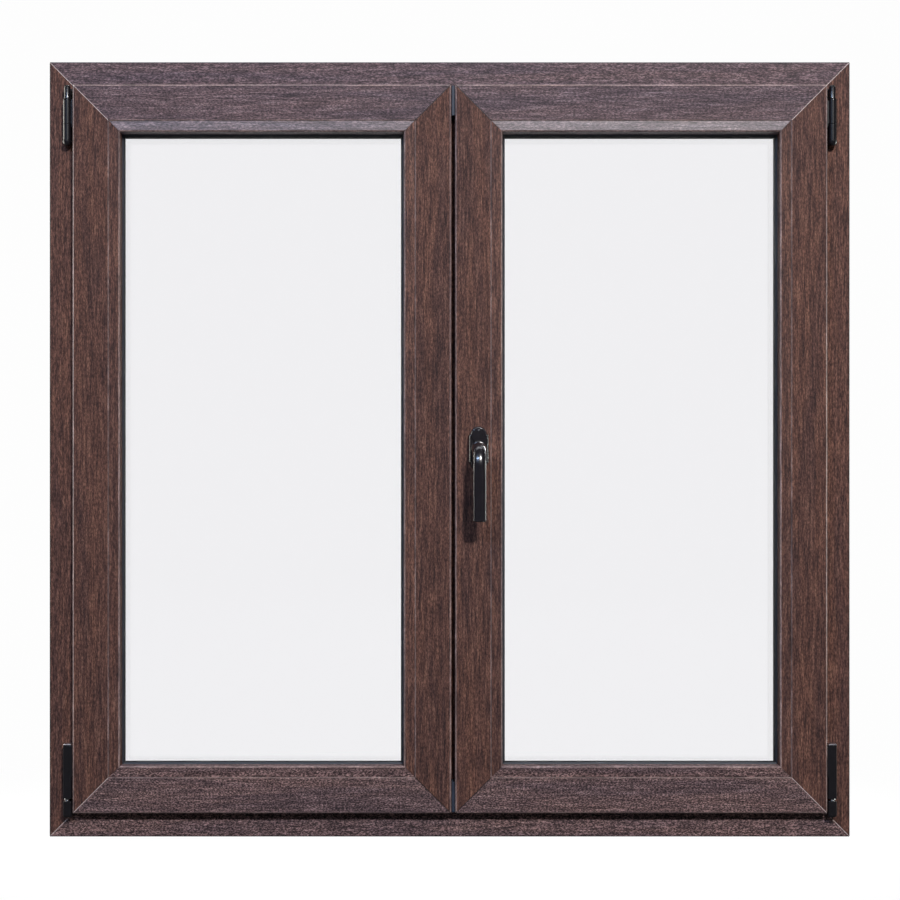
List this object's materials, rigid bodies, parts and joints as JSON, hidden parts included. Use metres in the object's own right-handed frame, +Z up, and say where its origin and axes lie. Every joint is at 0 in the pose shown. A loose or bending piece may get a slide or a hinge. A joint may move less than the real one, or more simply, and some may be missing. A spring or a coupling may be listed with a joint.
{
  "type": "casement window",
  "caption": "Two-sash inward-opening casement window in dark woodgrain plastic profile with sealed double glazing, surface hinges and a lever handle.",
  "frame": {"origin": "centre of the frame's underside: mid-width, mid-depth of the frame profile, on the face that rests on the sill of the opening", "axes": "+X to the right seen from the room, +Y towards the outdoors, +Z up"},
  "size_m": [1.25, 0.1471, 1.21],
  "materials": {
    "laminate": "dark walnut woodgrain foil, embossed, satin",
    "rubber": "matte",
    "glass": "clear float glass",
    "spacer": "warm-edge spacer, matte black",
    "hinge_black": "gloss black hinge covers",
    "handle_bronze": "dark bronze, gloss",
    "steel": "plain steel",
    "zinc": "zinc plated",
    "drain_cap": "moulded, satin",
    "meeting_cap": "blue-grey moulded plastic"
  },
  "bodies": {
    "frame": {"frame_head": "laminate", "frame_sill": "laminate", "frame_jamb_left": "laminate", "frame_jamb_right": "laminate", "frame_seal": "rubber", "drain_cap_left": "drain_cap", "drain_cap_right": "drain_cap", "bolt_keep_top": "zinc", "bolt_keep_bottom": "zinc", "left_top_hinge_bearing": "hinge_black", "left_top_hinge_pin": "hinge_black", "left_bottom_hinge_bearing": "hinge_black", "right_top_hinge_bearing": "hinge_black", "right_top_hinge_pin": "hinge_black", "right_bottom_hinge_bearing": "hinge_black"},
    "left_sash": {"left_sash_top_rail": "laminate", "left_sash_bottom_rail": "laminate", "left_sash_hinge_stile": "laminate", "left_sash_meeting_stile": "laminate", "left_bead_top": "laminate", "left_bead_bottom": "laminate", "left_bead_left": "laminate", "left_bead_right": "laminate", "left_room_pane": "glass", "left_outer_pane": "glass", "left_spacer_bar": "spacer", "left_glazing_seal": "rubber", "left_sash_seal": "rubber", "left_top_hinge_strap": "hinge_black", "left_bottom_hinge_strap": "hinge_black", "meeting_profile": "laminate", "meeting_cap_top": "meeting_cap", "meeting_cap_bottom": "meeting_cap", "meeting_seal": "rubber", "lock_keep_upper": "zinc", "lock_keep_lower": "zinc"},
    "right_sash": {"right_sash_top_rail": "laminate", "right_sash_bottom_rail": "laminate", "right_sash_meeting_stile": "laminate", "right_sash_hinge_stile": "laminate", "right_bead_top": "laminate", "right_bead_bottom": "laminate", "right_bead_left": "laminate", "right_bead_right": "laminate", "right_room_pane": "glass", "right_outer_pane": "glass", "right_spacer_bar": "spacer", "right_glazing_seal": "rubber", "right_sash_seal": "rubber", "right_top_hinge_strap": "hinge_black", "right_bottom_hinge_strap": "hinge_black", "lock_faceplate": "zinc", "lock_gearbox": "zinc", "handle_rosette": "handle_bronze"},
    "handle": {"handle_lever": "handle_bronze", "handle_spindle": "steel", "lock_pinion": "steel"},
    "drive_rail": {"drive_rail": "zinc"},
    "top_bolt": {"top_bolt": "zinc"},
    "bottom_bolt": {"bottom_bolt": "zinc"}
  },
  "joints": [
    {"name": "right_sash_turn", "type": "hinge", "parent": "frame", "child": "right_sash", "pos_m": [0.595, -0.045, 0.1], "axis": [0, 0, 1], "range_deg": [0, 90]},
    {"name": "left_sash_turn", "type": "hinge", "parent": "frame", "child": "left_sash", "pos_m": [-0.595, -0.045, 0.1], "axis": [0, 0, -1], "range_deg": [0, 90]},
    {"name": "handle_turn", "type": "hinge", "parent": "right_sash", "child": "handle", "pos_m": [0.044, -0.066, 0.605], "axis": [0, -1, 0], "range_deg": [0, 90]},
    {"name": "drive_rail_slide", "type": "slide", "parent": "right_sash", "child": "drive_rail", "axis": [0, 0, -1], "range_m": [0, 0.0183]},
    {"name": "top_bolt_slide", "type": "slide", "parent": "left_sash", "child": "top_bolt", "axis": [0, 0, -1], "range_m": [0, 0.022]},
    {"name": "bottom_bolt_slide", "type": "slide", "parent": "left_sash", "child": "bottom_bolt", "axis": [0, 0, 1], "range_m": [0, 0.022]}
  ],
  "couplings": [
    {"joint": "drive_rail_slide", "follows": "handle_turn", "m_per_rad": 0.01165}
  ]
}
